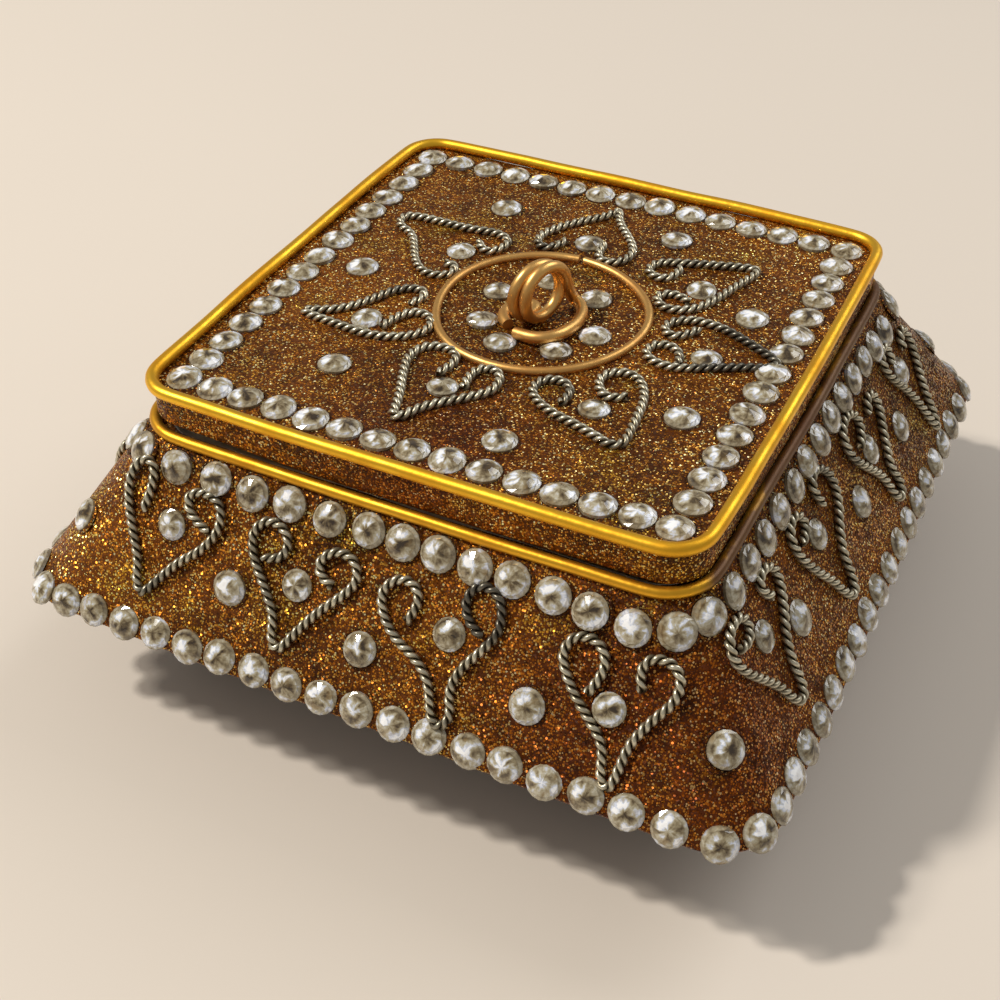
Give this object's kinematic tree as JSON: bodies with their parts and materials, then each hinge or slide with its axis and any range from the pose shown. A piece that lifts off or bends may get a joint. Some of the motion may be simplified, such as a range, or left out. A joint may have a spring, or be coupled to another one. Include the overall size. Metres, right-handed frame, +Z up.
{
  "type": "trinket box",
  "caption": "Square flared trinket box with a lift-off lid: glittering brown lac set with clear glass stones and twisted-wire hearts, gilt wire edges and a wire loop handle.",
  "frame": {"origin": "middle of the flat underside, on the table", "axes": "+Z up, -Y out of the front wall, +X to the right"},
  "size_m": [0.0996, 0.0996, 0.0504],
  "materials": {
    "glitter_lac": "glossy brown lac full of copper and gold glitter",
    "plain_lac": "plain dark brown lac",
    "sheet_metal": "satin",
    "gilt_wire": "bright gilt",
    "copper_wire": "satin copper-gold",
    "twisted_wire": "dull silver, darkened in the hollows",
    "stone": "clear cut glass"
  },
  "bodies": {
    "box": {"front_top_stones": "stone", "front_bottom_stones": "stone", "front_hearts": "twisted_wire", "front_heart_stones": "stone", "front_field_stones": "stone", "right_top_stones": "stone", "right_bottom_stones": "stone", "right_hearts": "twisted_wire", "right_heart_stones": "stone", "right_field_stones": "stone", "back_top_stones": "stone", "back_bottom_stones": "stone", "back_hearts": "twisted_wire", "back_heart_stones": "stone", "back_field_stones": "stone", "left_top_stones": "stone", "left_bottom_stones": "stone", "left_hearts": "twisted_wire", "left_heart_stones": "stone", "left_field_stones": "stone", "corner_stones": "stone", "tray_lac": "plain_lac", "tray_core": "sheet_metal", "wall_lac": "glitter_lac", "wall_core": "sheet_metal", "mouth_wire": "gilt_wire"},
    "lid": {"lid_core": "sheet_metal", "lid_lac": "glitter_lac", "lid_edge_wire": "gilt_wire", "lid_ring_wire": "copper_wire", "lid_loop": "copper_wire", "lid_border_stones": "stone", "lid_hearts": "twisted_wire", "lid_heart_stones": "stone", "lid_field_stones": "stone", "lid_ring_stones": "stone"}
  },
  "joints": [
    {"name": "lid_lift", "type": "slide", "parent": "box", "child": "lid", "axis": [0, 0, 1], "range_m": [0, 0.035]}
  ]
}
